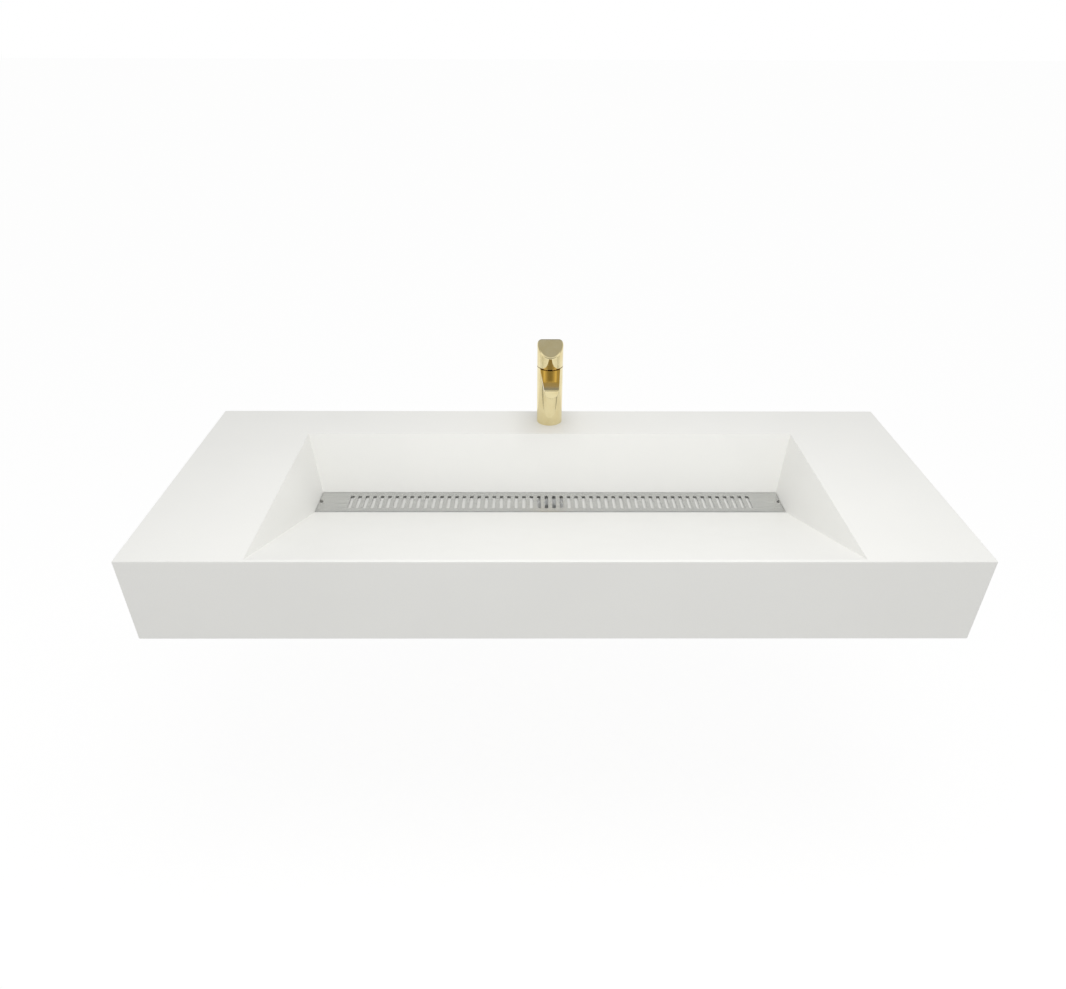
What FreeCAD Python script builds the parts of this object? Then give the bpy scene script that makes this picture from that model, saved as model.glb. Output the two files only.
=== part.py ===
import FreeCAD, Part
import Sketcher
import math
import os
from types import SimpleNamespace

# Wall-hung vanity top with a sloping basin, a linear drain and a single-lever tap.
# X points right for someone standing before it, Y into the wall and Z up.
# The origin lies in the wall plane, at the centre of the four wall bolts. Millimetres.

sizes = {
    # The top as a whole
    "overall_width": 1200,
    "overall_depth": 460,
    "apron_height": 140,
    "sheet_thickness": 12,
    "edge_round": 1.5,
    "mount_drop": 76,           # from the deck down to the centre of the wall bolts
    # Basin and trough
    "side_deck": 176,
    "ledge_depth": 90,
    "front_lip": 4,
    "basin_depth": 90,          # from the deck down to the drain cover
    "end_run": 24,              # how far each end wall leans over that depth
    "rear_run": 49,
    "trough_width": 65,
    "trough_depth": 7,
    # Timber under the deck
    "bearer_thickness": 18,
    "bearer_gap": 4,
    "stretcher_thickness": 18,
    "stretcher_height": 60,
    "stretcher_opening": 130,   # free length round the tap
    # Steel brackets and their screws
    "bracket_width": 60,
    "bracket_steel": 6,
    "bracket_length": 360,
    "bracket_bend": 6,          # inside radius of the fold
    "bracket_corner": 8,
    "bracket_foot": 18,         # plate below the lower bolts
    "web_toe": 40,
    "web_nose": 12,
    "bolt_rise": 56,
    "bolt_slot_width": 9,
    "bolt_slot_length": 20,
    "end_hole_distance": 40,
    "rear_hole_distance": 90,
    "screw_radius": 3,
    "screw_length": 18,
    "screw_head_across": 10,
    "screw_head_height": 4,
    "screw_clearance": 0.5,
    "insert_radius": 5,
    "insert_length": 13,
    "thread_clearance": 0.05,
    # Waste fitting
    "flange_radius": 27,
    "flange_thickness": 3.5,
    "flange_clearance": 0.5,
    "gasket_thickness": 1.5,
    "barrel_radius": 21,
    "barrel_length": 52,
    "barrel_clearance": 1.5,
    "throat_radius": 14.5,
    "throat_chamfer": 7,
    "lower_gasket_thickness": 6,
    "washer_thickness": 1.5,
    "backnut_across": 56,
    "backnut_height": 9,
    "tail_radius": 15.875,
    "tail_thread_radius": 15.4,
    "tail_wall": 1.2,
    "tail_length": 116,
    "tail_socket": 18,
    # Drain cover
    "cover_gap": 1,
    "cover_steel": 1.5,
    "cover_flange": 4,
    "cover_bend": 2.5,
    "slot_length": 40,
    "slot_width": 6,
    "slot_pitch": 13,
    "slot_margin": 52,
    "notch_radius": 6.5,
    "stud_radius": 2.2,
    "stud_inset": 30,
    "foot_radius": 3.4,
    "foot_height": 3.5,
    # Tap body and spout
    "tap_inset": 36,            # axis to the wall
    "tap_radius": 22.5,
    "tap_height": 106,
    "tap_hole_radius": 17.5,
    "spout_reach": 104,
    "spout_root_width": 36,
    "spout_tip_width": 24,
    "spout_side": 4,
    "spout_round": 2,
    "cavity_radius": 18.5,
    "cavity_depth": 22,
    "seal_width": 2.6,
    "seal_height": 2,
    "inlet_radius": 5,
    "inlet_depth": 14,
    "inlet_spread": 8,
    "inlet_offset": 5,
    "port_radius": 3.5,
    "passage_radius": 3.8,
    "passage_drop": 10,
    "aerator_radius": 9.4,
    "aerator_inset": 13,
    "aerator_height": 5,
    "aerator_recess": 5,
    "aerator_room": 3,
    "aerator_wall": 1.8,
    "aerator_hole": 1.2,
    "aerator_ring": 4.5,
    # Cartridge
    "cartridge_radius": 17.5,
    "cartridge_height": 38,
    "cartridge_clearance": 0.1,
    "neck_radius": 14,
    "neck_height": 5.5,
    "nut_radius": 19.1,
    "nut_height": 5,
    "nut_depth": 6,             # tap's top down to the nut's seat
    "carrier_radius": 11,
    "carrier_height": 17,
    "running_clearance": 0.08,
    "pivot_drop": 8,            # tap's top down to the lever's pivot
    "pin_radius": 2,
    "stem_side": 8,
    "stem_clearance": 0.2,
    "stem_tail": 4,
    "stem_length": 24,          # above the tap's top
    # Handle
    "handle_gap": 1.2,
    "handle_front": 128,        # heights above the deck
    "handle_top": 150,
    "handle_crest": 7.7,        # highest line, behind the axis
    "handle_roll": 16,          # radius of the roll over the top
    "handle_relief": 7.8,       # rise of the underside towards the rear
    "handle_round": 4,
    "handle_wall": 4,
    "handle_recess": 9,
    "grub_radius": 2.5,
    "grub_length": 10,
    "grub_rise": 18,            # above the tap's top
    "plug_length": 3,
    # Tap fixing under the deck
    "fixing_radius": 4,
    "fixing_offset": 9,
    "fixing_length": 50,        # below the deck's top
    "fixing_depth": 14,
    "horseshoe_radius": 24,
    "horseshoe_opening": 30,
    "horseshoe_depth": 2,
    "horseshoe_rubber": 3,
    "horseshoe_steel": 2.5,
    "fixing_nut_across": 13,
    "fixing_nut_height": 6.5,
}

doc = FreeCAD.newDocument("vanity_top")
sheet = doc.addObject("Spreadsheet::Sheet", "Sizes")
for row, (name, number) in enumerate(sizes.items(), start=1):
    sheet.set(f"A{row}", str(number))
    sheet.setAlias(f"A{row}", name)
doc.recompute()


# A length that carries its formula in the sheet's names and its present value
class Term:
    def __init__(self, text, value):
        self.text = text
        self.value = float(value)

    def __add__(self, other):
        other = as_term(other)
        return Term(f"({self.text} + {other.text})", self.value + other.value)

    def __sub__(self, other):
        other = as_term(other)
        return Term(f"({self.text} - {other.text})", self.value - other.value)

    def __mul__(self, other):
        other = as_term(other)
        return Term(f"({self.text} * {other.text})", self.value * other.value)

    def __truediv__(self, other):
        other = as_term(other)
        return Term(f"({self.text} / {other.text})", self.value / other.value)

    def __neg__(self):
        return Term(f"(0 - {self.text})", -self.value)

    def __radd__(self, other):
        return as_term(other) + self

    def __rsub__(self, other):
        return as_term(other) - self

    def __rmul__(self, other):
        return as_term(other) * self


def as_term(number):
    if isinstance(number, Term):
        return number
    return Term(f"({number})" if number < 0 else f"{number}", number)


def square_root(term):
    return Term(f"sqrt({term.text})", math.sqrt(term.value))


def whole(term):
    return Term(f"floor({term.text})", math.floor(term.value))


size = SimpleNamespace(**{name: Term(f"Sizes.{name}", sheet.get(name)) for name in sizes})
zero = as_term(0)
nodes = []


# Bodies and sketches
def new_body(label, x=zero, y=zero, z=zero):
    body = doc.addObject("PartDesign::Body", label)
    body.Label = label
    for axis, term in (("x", x), ("y", y), ("z", z)):
        body.setExpression(f"Placement.Base.{axis}", as_term(term).text)
    nodes.append(body)
    return body


def new_sketch(body, plane, name, offset):
    sketch = body.newObject("Sketcher::SketchObject", name)
    support = [item for item in body.Origin.OriginFeatures if item.Role == f"{plane}_Plane"][0]
    sketch.AttachmentSupport = (support, "")
    sketch.MapMode = "FlatFace"
    sketch.setExpression("AttachmentOffset.Base.z", as_term(offset).text)
    return sketch


def hold(sketch, kind, term, geometry, point):
    term = as_term(term)
    if term.value == 0:
        axis = -2 if kind == "DistanceX" else -1
        sketch.addConstraint(Sketcher.Constraint("PointOnObject", geometry, point, axis))
        return
    index = sketch.addConstraint(Sketcher.Constraint(kind, -1, 1, geometry, point, term.value))
    sketch.setExpression(f"Constraints[{index}]", term.text)


def place(sketch, x, y, geometry, point):
    hold(sketch, "DistanceX", x, geometry, point)
    hold(sketch, "DistanceY", y, geometry, point)


def vector(x, y):
    return FreeCAD.Vector(as_term(x).value, as_term(y).value, 0)


def set_radius(sketch, geometry, radius):
    radius = as_term(radius)
    index = sketch.addConstraint(Sketcher.Constraint("Radius", geometry, radius.value))
    sketch.setExpression(f"Constraints[{index}]", radius.text)


# Outlines that a sketch can hold
def polygon(*points):
    def draw(sketch):
        first = sketch.GeometryCount
        count = len(points)
        for i in range(count):
            line = Part.LineSegment(vector(*points[i]), vector(*points[(i + 1) % count]))
            sketch.addGeometry(line, False)
        for i in range(count):
            following = first + (i + 1) % count
            sketch.addConstraint(Sketcher.Constraint("Coincident", first + i, 2, following, 1))
            place(sketch, *points[i], first + i, 1)
    return draw


def rectangle(x_from, x_to, y_from, y_to):
    return polygon((x_from, y_from), (x_to, y_from), (x_to, y_to), (x_from, y_to))


def hexagon(x, y, across):
    flat = across / 2
    corner = across / square_root(as_term(3))
    points = [(x + corner, y), (x + corner / 2, y + flat), (x - corner / 2, y + flat),
              (x - corner, y), (x - corner / 2, y - flat), (x + corner / 2, y - flat)]
    return polygon(*points)


def circle(x, y, radius):
    def draw(sketch):
        shape = Part.Circle(vector(x, y), FreeCAD.Vector(0, 0, 1), as_term(radius).value)
        index = sketch.addGeometry(shape, False)
        place(sketch, x, y, index, 3)
        set_radius(sketch, index, radius)
    return draw


# A slot between two end centres on one line, along the sketch's first or second axis
def long_slot(x, y, reach, radius, upright):
    def draw(sketch):
        first = sketch.GeometryCount
        up = FreeCAD.Vector(0, 0, 1)
        turn = math.pi / 2 if upright else 0
        shift = (zero, reach) if upright else (reach, zero)
        far = (x + shift[0], y + shift[1])
        near = (x - shift[0], y - shift[1])
        across = radius.value
        side = FreeCAD.Vector(-across, 0, 0) if upright else FreeCAD.Vector(0, across, 0)
        far_arc = Part.ArcOfCircle(Part.Circle(vector(*far), up, across), turn - math.pi / 2, turn + math.pi / 2)
        near_arc = Part.ArcOfCircle(Part.Circle(vector(*near), up, across), turn + math.pi / 2, turn + math.pi * 3 / 2)
        sketch.addGeometry(far_arc, False)
        sketch.addGeometry(Part.LineSegment(vector(*far) + side, vector(*near) + side), False)
        sketch.addGeometry(near_arc, False)
        sketch.addGeometry(Part.LineSegment(vector(*near) - side, vector(*far) - side), False)
        for i in range(4):
            sketch.addConstraint(Sketcher.Constraint("Tangent", first + i, 2, first + (i + 1) % 4, 1))
        place(sketch, *far, first, 3)
        place(sketch, *near, first + 2, 3)
        sketch.addConstraint(Sketcher.Constraint("Equal", first, first + 2))
        set_radius(sketch, first, radius)
    return draw


# Straight runs from point to point, closed by an arc that turns left from the first point to the last
def rolled(radius, centre, *points):
    def draw(sketch):
        first = sketch.GeometryCount
        runs = len(points) - 1
        for i in range(runs):
            sketch.addGeometry(Part.LineSegment(vector(*points[i]), vector(*points[i + 1])), False)
        angles = []
        for point in (points[0], points[-1]):
            arm = vector(*point) - vector(*centre)
            angles.append(math.atan2(arm.y, arm.x))
        ring = Part.Circle(vector(*centre), FreeCAD.Vector(0, 0, 1), radius.value)
        arc = sketch.addGeometry(Part.ArcOfCircle(ring, *angles), False)
        for i in range(runs - 1):
            sketch.addConstraint(Sketcher.Constraint("Coincident", first + i, 2, first + i + 1, 1))
        sketch.addConstraint(Sketcher.Constraint("Coincident", arc, 1, first, 1))
        sketch.addConstraint(Sketcher.Constraint("Coincident", arc, 2, first + runs - 1, 2))
        for i in range(runs):
            place(sketch, *points[i], first + i, 1)
        place(sketch, *points[-1], first + runs - 1, 2)
        set_radius(sketch, arc, radius)
    return draw


# Features
def span(body, plane, name, start, end, *outlines, cut=False):
    start = as_term(start)
    end = as_term(end)
    if start.value > end.value:
        start, end = end, start
    sketch = new_sketch(body, plane, f"{name}_outline", -end if plane == "XZ" else start)
    for draw in outlines:
        draw(sketch)
    feature = body.newObject("PartDesign::Pocket" if cut else "PartDesign::Pad", name)
    feature.Profile = sketch
    feature.Reversed = cut
    feature.setExpression("Length", (end - start).text)
    doc.recompute()
    return feature


def cut(body, plane, name, start, end, *outlines):
    return span(body, plane, name, start, end, *outlines, cut=True)


def turned(body, name, *points, plane="XZ", offset=zero, angle=360):
    sketch = new_sketch(body, plane, f"{name}_outline", offset)
    polygon(*points)(sketch)
    feature = body.newObject("PartDesign::Revolution", name)
    feature.Profile = sketch
    feature.ReferenceAxis = (sketch, ["V_Axis"])
    feature.Angle = angle
    doc.recompute()
    return feature


def loft(body, name, kind, plane, first, second):
    sketches = []
    for number, (offset, draw) in enumerate((first, second), start=1):
        sketch = new_sketch(body, plane, f"{name}_section_{number}", offset)
        draw(sketch)
        sketches.append(sketch)
    feature = body.newObject(f"PartDesign::{kind}", name)
    feature.Profile = sketches[0]
    feature.Sections = [sketches[1]]
    feature.Ruled = True
    doc.recompute()
    return feature


# Rounds the edges whose middle point, in the body's own frame, passes the test
def round_edges(body, name, radius, test):
    base = body.Tip
    chosen = []
    for number, edge in enumerate(base.Shape.Edges, start=1):
        middle = edge.valueAt((edge.FirstParameter + edge.LastParameter) / 2)
        if test(edge, middle):
            chosen.append(f"Edge{number}")
    feature = body.newObject("PartDesign::Fillet", name)
    feature.Base = (base, chosen)
    feature.setExpression("Radius", radius.text)
    doc.recompute()
    return feature


def near(number, term):
    return abs(number - as_term(term).value) < 1e-4


# Planes of the top, measured from the deck, with the wall at y = 0
sheet_in = size.sheet_thickness
half_width = size.overall_width / 2
inner_half = half_width - sheet_in
deck_top = size.mount_drop
front = -size.overall_depth
apron_back = front + sheet_in
rim_half = half_width - size.side_deck
rim_front = front + size.front_lip
rim_rear = -size.ledge_depth
trough_half = rim_half - size.end_run
trough_rear = rim_rear - size.rear_run
trough_front = trough_rear - size.trough_width
trough_middle = (trough_front + trough_rear) / 2
ramp_slope = size.basin_depth / (trough_front - rim_front)
end_slope = size.end_run / size.basin_depth
rear_slope = size.rear_run / size.basin_depth
ramp_skin = sheet_in * square_root(1 + ramp_slope * ramp_slope)
end_skin = sheet_in * square_root(1 + end_slope * end_slope)
rear_skin = sheet_in * square_root(1 + rear_slope * rear_slope)
cover_level = -size.basin_depth
seam = cover_level - ramp_skin
trough_floor_level = cover_level - size.trough_depth
apron_foot = -size.apron_height


def ramp_at(y):
    return (rim_front - y) * ramp_slope


def end_at(z):
    return rim_half + end_slope * z


def rear_at(z):
    return rim_rear + rear_slope * z


def on_deck(label):
    return new_body(label, z=deck_top)


# Deck boards round three sides of the basin, their inner edges cut to the slope of its walls
for side, label in ((-1, "left_deck"), (1, "right_deck")):
    board = on_deck(label)
    span(board, "XZ", "board", apron_back, rim_rear,
         polygon((side * rim_half, zero), (side * inner_half, zero),
                 (side * inner_half, -sheet_in), (side * end_at(-sheet_in), -sheet_in)))
    cut(board, "YZ", "rear_edge", side * (rim_half - sheet_in), side * half_width,
        polygon((rear_at(sheet_in), sheet_in), (rim_rear + sheet_in, sheet_in),
                (rim_rear + sheet_in, sheet_in * -2), (rear_at(sheet_in * -2), sheet_in * -2)))

rear_deck = on_deck("rear_deck")
span(rear_deck, "YZ", "board", -inner_half, inner_half,
     polygon((rim_rear, zero), (zero, zero), (zero, -sheet_in), (rear_at(-sheet_in), -sheet_in)))
cut(rear_deck, "XY", "tap_hole", sheet_in * -2, sheet_in,
    circle(zero, -size.tap_inset, size.tap_hole_radius))

# Aprons: the front one runs the full width and carries the lip where the ramp begins
front_apron = on_deck("front_apron")
span(front_apron, "XZ", "board", front, apron_back, rectangle(-half_width, half_width, apron_foot, zero))
loft(front_apron, "basin", "SubtractiveLoft", "XY",
     (zero, rectangle(-rim_half, rim_half, rim_front, rim_rear)),
     (cover_level, rectangle(-trough_half, trough_half, trough_front, trough_rear)))
round_edges(front_apron, "eased_edges", size.edge_round,
            lambda edge, middle: (near(middle.y, front)
                                  or (near(abs(middle.x), half_width)
                                      and (near(middle.z, zero) or near(middle.z, apron_foot)))))

for side, label in ((-1, "left_apron"), (1, "right_apron")):
    board = on_deck(label)
    span(board, "XZ", "board", apron_back, zero,
         rectangle(side * inner_half, side * half_width, apron_foot, zero))
    round_edges(board, "eased_edges", size.edge_round,
                lambda edge, middle, outer=side * half_width: (
                    near(middle.x, outer) and (near(middle.z, zero) or near(middle.z, apron_foot))))

# Basin walls: ramp and rear wall stand between the two leaning end walls
beyond = rim_half + sheet_in * 2


def outside_ends():
    for side in (-1, 1):
        yield polygon((side * end_at(sheet_in), sheet_in), (side * trough_half, cover_level),
                      (side * trough_half, seam - sheet_in), (side * beyond, seam - sheet_in),
                      (side * beyond, sheet_in))


ramp = on_deck("ramp")
span(ramp, "YZ", "board", -rim_half, rim_half,
     polygon((apron_back, ramp_at(apron_back)), (trough_front, cover_level),
             (trough_front, seam), (apron_back, ramp_at(apron_back) - ramp_skin)))
cut(ramp, "XZ", "end_cuts", front, zero, *outside_ends())

basin_rear_wall = on_deck("basin_rear_wall")
span(basin_rear_wall, "YZ", "board", -rim_half, rim_half,
     polygon((rear_at(-sheet_in), -sheet_in), (rear_at(-sheet_in) + rear_skin, -sheet_in),
             (rear_at(seam) + rear_skin, seam), (trough_rear, seam), (trough_rear, cover_level)))
cut(basin_rear_wall, "XZ", "end_cuts", front, zero, *outside_ends())

for side, label in ((-1, "basin_left_wall"), (1, "basin_right_wall")):
    wall = on_deck(label)
    rear_top = rear_at(-sheet_in) + rear_skin
    span(wall, "XZ", "board", apron_back, rear_top,
         polygon((side * end_at(-sheet_in), -sheet_in), (side * trough_half, cover_level),
                 (side * trough_half, seam), (side * (end_at(seam) + end_skin), seam),
                 (side * (end_at(-sheet_in) + end_skin), -sheet_in)))
    under_ramp = polygon((front, ramp_at(front) - ramp_skin), (trough_front, seam),
                         (trough_front, seam - sheet_in), (front, seam - sheet_in))
    behind = polygon((rear_at(zero) + rear_skin, zero), (rear_at(seam) + rear_skin, seam),
                     (rear_at(seam) + rear_skin, seam - sheet_in), (zero, seam - sheet_in), (zero, zero))
    cut(wall, "YZ", "shaped_edges", zero, side * half_width, under_ramp, behind)

# Trough of bonded strips under the open end of the basin
trough_floor = on_deck("trough_floor")
trough_foot = trough_floor_level - sheet_in
span(trough_floor, "XY", "strip", trough_foot, trough_floor_level,
     rectangle(-trough_half, trough_half, trough_front, trough_rear))
recess = size.flange_thickness + size.gasket_thickness
cut(trough_floor, "XY", "flange_recess", trough_floor_level - recess, trough_floor_level,
    circle(zero, trough_middle, size.flange_radius + size.flange_clearance))
cut(trough_floor, "XY", "waste_hole", trough_floor_level - sheet_in * 2, trough_floor_level,
    circle(zero, trough_middle, size.barrel_radius + size.barrel_clearance))

strip_front = polygon((trough_front - sheet_in, trough_foot), (trough_front, trough_foot),
                      (trough_front, seam), (trough_front - sheet_in, seam + ramp_slope * sheet_in))
span(on_deck("trough_front_wall"), "YZ", "strip", -trough_half, trough_half, strip_front)
span(on_deck("trough_rear_wall"), "YZ", "strip", -trough_half, trough_half,
     rectangle(trough_rear, trough_rear + sheet_in, trough_foot, seam))
for side, label in ((-1, "trough_left_end"), (1, "trough_right_end")):
    span(on_deck(label), "YZ", "strip", side * trough_half, side * (trough_half + sheet_in),
         polygon((trough_front - sheet_in, trough_foot), (trough_rear + sheet_in, trough_foot),
                 (trough_rear + sheet_in, seam), (trough_front, seam),
                 (trough_front - sheet_in, seam + ramp_slope * sheet_in)))

# Timber: a bearer under each side deck and two stretchers along the wall
bearer_inner = end_at(-sheet_in) + end_skin + size.bearer_gap
bearer_outer = inner_half - size.bearer_gap
bearer_foot = -sheet_in - size.bearer_thickness
bracket_middle = half_width - size.side_deck / 2
arm_holes = (-size.rear_hole_distance, size.end_hole_distance - size.bracket_length)
for side, label in ((-1, "left_bearer"), (1, "right_bearer")):
    bearer = on_deck(label)
    span(bearer, "XY", "plank", bearer_foot, -sheet_in,
         rectangle(side * bearer_inner, side * bearer_outer, apron_back + size.bearer_gap, -size.bearer_gap))
    cut(bearer, "XY", "insert_holes", bearer_foot, bearer_foot + size.insert_length,
        *[circle(side * bracket_middle, y, size.insert_radius + size.thread_clearance) for y in arm_holes])

for side, label in ((-1, "left_stretcher"), (1, "right_stretcher")):
    span(on_deck(label), "XZ", "plank", -size.stretcher_thickness, zero,
         rectangle(side * size.stretcher_opening / 2, side * (rim_half - size.bearer_gap),
                   -sheet_in - size.stretcher_height, -sheet_in))

# Steel brackets, each an angle with a welded web on the side towards the basin
steel = size.bracket_steel
arm_top = deck_top + bearer_foot
arm_foot = arm_top - steel
plate_foot = -(size.bolt_rise / 2 + size.bracket_foot)
half_bracket = size.bracket_width / 2
slot_radius = size.bolt_slot_width / 2
slot_reach = (size.bolt_slot_length - size.bolt_slot_width) / 2
for side, label in ((-1, "left_bracket"), (1, "right_bracket")):
    bracket = new_body(label, x=side * bracket_middle)
    span(bracket, "YZ", "angle", -half_bracket, half_bracket,
         polygon((zero, plate_foot), (zero, arm_top), (-size.bracket_length, arm_top),
                 (-size.bracket_length, arm_foot), (-steel, arm_foot), (-steel, plate_foot)))
    round_edges(bracket, "inner_fold", size.bracket_bend,
                lambda edge, middle: near(middle.y, -steel) and near(middle.z, arm_foot))
    round_edges(bracket, "outer_fold", size.bracket_bend + steel,
                lambda edge, middle: near(middle.y, zero) and near(middle.z, arm_top))
    round_edges(bracket, "corners", size.bracket_corner,
                lambda edge, middle: near(abs(middle.x), half_bracket)
                and (near(middle.y, -size.bracket_length) or near(middle.z, plate_foot)))
    web_tip = size.web_toe - size.bracket_length
    web_foot = plate_foot + size.bracket_corner
    span(bracket, "YZ", "web", -side * half_bracket, -side * (half_bracket - steel),
         polygon((-steel, arm_foot), (web_tip, arm_foot), (web_tip, arm_foot - size.web_nose),
                 (-steel - size.web_nose, web_foot), (-steel, web_foot)))
    cut(bracket, "XZ", "bolt_slots", steel * -2, steel,
        *[long_slot(zero, row * size.bolt_rise / 2, slot_reach, slot_radius, False) for row in (-1, 1)])
    cut(bracket, "XY", "screw_holes", arm_foot - steel, arm_top + steel,
        *[circle(zero, y, size.screw_radius + size.screw_clearance) for y in arm_holes])

screw_places = [(side * bracket_middle, y) for side in (-1, 1) for y in arm_holes]
bracket_screws = new_body("bracket_screws")
span(bracket_screws, "XY", "heads", arm_foot - size.screw_head_height, arm_foot,
     *[hexagon(x, y, size.screw_head_across) for x, y in screw_places])
span(bracket_screws, "XY", "shanks", arm_foot, arm_foot + size.screw_length,
     *[circle(x, y, size.screw_radius) for x, y in screw_places])

bearer_inserts = new_body("bearer_inserts")
span(bearer_inserts, "XY", "sleeves", arm_top, arm_top + size.insert_length,
     *[circle(x, y, size.insert_radius) for x, y in screw_places],
     *[circle(x, y, size.screw_radius + size.thread_clearance) for x, y in screw_places])


# Waste fitting, measured from the trough's floor
def on_drain(label):
    return new_body(label, y=trough_middle, z=deck_top + trough_floor_level)


def washer(body, inner, outer, top, thickness):
    turned(body, "ring", (inner, top - thickness), (outer, top - thickness), (outer, top), (inner, top))


barrel_fit = size.barrel_radius + size.thread_clearance
socket_top = -(size.barrel_length - size.tail_socket)
tail_fit = size.tail_thread_radius + size.thread_clearance
drain_body = on_drain("drain_body")
turned(drain_body, "fitting",
       (size.throat_radius + size.throat_chamfer, zero), (size.flange_radius, zero),
       (size.flange_radius, -size.flange_thickness), (size.barrel_radius, -size.flange_thickness),
       (size.barrel_radius, -size.barrel_length), (tail_fit, -size.barrel_length),
       (tail_fit, socket_top), (size.throat_radius, socket_top),
       (size.throat_radius, -size.throat_chamfer))
washer(on_drain("flange_gasket"), barrel_fit, size.flange_radius, -size.flange_thickness, size.gasket_thickness)
washer(on_drain("lower_gasket"), barrel_fit, size.flange_radius, -sheet_in, size.lower_gasket_thickness)
below_rubber = -sheet_in - size.lower_gasket_thickness
washer(on_drain("friction_washer"), barrel_fit, size.flange_radius, below_rubber, size.washer_thickness)
backnut_top = below_rubber - size.washer_thickness
span(on_drain("drain_backnut"), "XY", "nut", backnut_top - size.backnut_height, backnut_top,
     hexagon(zero, zero, size.backnut_across), circle(zero, zero, barrel_fit))
tail_foot = socket_top - size.tail_length
tail_bore = size.tail_radius - size.tail_wall
turned(on_drain("tailpiece"), "tube",
       (tail_bore, tail_foot), (size.tail_radius, tail_foot), (size.tail_radius, -size.barrel_length),
       (size.tail_thread_radius, -size.barrel_length), (size.tail_thread_radius, socket_top),
       (tail_bore, socket_top))


# Lift-out drain cover: a slotted channel of thin sheet on eight welded studs with silicone feet
def on_cover(label):
    return new_body(label, y=trough_middle, z=deck_top + cover_level)


cover_half = trough_half - size.cover_gap
cover_edge = size.trough_width / 2 - size.cover_gap
gauge = size.cover_steel
drain_cover = on_cover("drain_cover")
span(drain_cover, "YZ", "channel", -cover_half, cover_half,
     polygon((-cover_edge, zero), (cover_edge, zero), (cover_edge, -size.cover_flange),
             (cover_edge - gauge, -size.cover_flange), (cover_edge - gauge, -gauge),
             (gauge - cover_edge, -gauge), (gauge - cover_edge, -size.cover_flange),
             (-cover_edge, -size.cover_flange)))
round_edges(drain_cover, "bends", size.cover_bend,
            lambda edge, middle: near(abs(middle.y), cover_edge) and near(middle.z, zero))
cut(drain_cover, "XY", "finger_notches", gauge * -2, gauge,
    *[circle(side * cover_half, zero, size.notch_radius) for side in (-1, 1)])
slot_count = whole((cover_half - size.slot_margin) * 2 / size.slot_pitch) + 1
first_slot = -(slot_count - 1) * size.slot_pitch / 2
slot_cut = cut(drain_cover, "XY", "slot", gauge * -2, gauge,
               long_slot(first_slot, zero, (size.slot_length - size.slot_width) / 2, size.slot_width / 2, True))
slot_row = drain_cover.newObject("PartDesign::LinearPattern", "slot_row")
slot_row.Originals = [slot_cut]
slot_row.Direction = ([item for item in drain_cover.Origin.OriginFeatures if item.Role == "X_Axis"][0], [""])
slot_row.Mode = "Spacing"
slot_row.setExpression("Offset", size.slot_pitch.text)
slot_row.setExpression("Occurrences", slot_count.text)
drain_cover.Tip = slot_row
doc.recompute()

stud_side = (size.slot_length / 2 + cover_edge - gauge) / 2
stud_end = cover_half - size.stud_inset
stud_land = first_slot + (whole((stud_end / 3 - first_slot) / size.slot_pitch) + 0.5) * size.slot_pitch
stud_places = [(along, across * stud_side) for along in (-stud_end, -stud_land, stud_land, stud_end)
               for across in (-1, 1)]
foot_top = size.foot_height - size.trough_depth
span(on_cover("cover_studs"), "XY", "studs", foot_top, -gauge,
     *[circle(x, y, size.stud_radius) for x, y in stud_places])
span(on_cover("cover_feet"), "XY", "feet", -size.trough_depth, foot_top,
     *[circle(x, y, size.foot_radius) for x, y in stud_places])


# Tap, measured from the deck on its own upright axis
def on_tap(label):
    return new_body(label, y=-size.tap_inset, z=deck_top)


tap_top = size.tap_height
seal_outer = size.cavity_radius + size.seal_width
nut_seat = tap_top - size.nut_depth
chamber_floor = nut_seat - size.cartridge_height
passage_level = tap_top - size.passage_drop
aerator_middle = size.aerator_inset - size.spout_reach
spout_axis = tap_top - size.spout_side
spout_root = size.spout_root_width / 2
spout_tip = size.spout_tip_width / 2
spout_foot = spout_axis - spout_tip
aerator_foot = spout_foot + size.aerator_recess
aerator_top = aerator_foot + size.aerator_height
aerator_bore = size.aerator_radius + size.cartridge_clearance
fixing_bore = size.fixing_radius + size.thread_clearance

tap_body = on_tap("tap_body")
span(tap_body, "XY", "column", zero, tap_top, circle(zero, zero, size.tap_radius))
span(tap_body, "XY", "spout_top", spout_axis, tap_top,
     polygon((-spout_root, zero), (-spout_tip, -size.spout_reach), (spout_tip, -size.spout_reach), (spout_root, zero)))
turned(tap_body, "spout_belly", (zero, zero), (spout_root, zero), (spout_tip, -size.spout_reach),
       (zero, -size.spout_reach), plane="XY", offset=spout_axis, angle=180)
round_edges(tap_body, "spout_tip", size.spout_round,
            lambda edge, middle: near(middle.y, -size.spout_reach))
cut(tap_body, "XY", "seal_recess", zero, size.seal_height, circle(zero, zero, seal_outer))
cut(tap_body, "XY", "cavity", zero, size.cavity_depth, circle(zero, zero, size.cavity_radius))
inlets = [(side * size.inlet_spread, -size.inlet_offset) for side in (-1, 1)]
cut(tap_body, "XY", "inlets", size.cavity_depth, size.cavity_depth + size.inlet_depth,
    *[circle(x, y, size.inlet_radius) for x, y in inlets])
cut(tap_body, "XY", "ports", size.cavity_depth + size.inlet_depth, chamber_floor,
    *[circle(x, y, size.port_radius) for x, y in inlets])
cut(tap_body, "XY", "fixing_hole", size.cavity_depth, size.cavity_depth + size.fixing_depth,
    circle(zero, size.fixing_offset, fixing_bore))
cut(tap_body, "XY", "chamber", chamber_floor, nut_seat,
    circle(zero, zero, size.cartridge_radius + size.cartridge_clearance))
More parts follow.
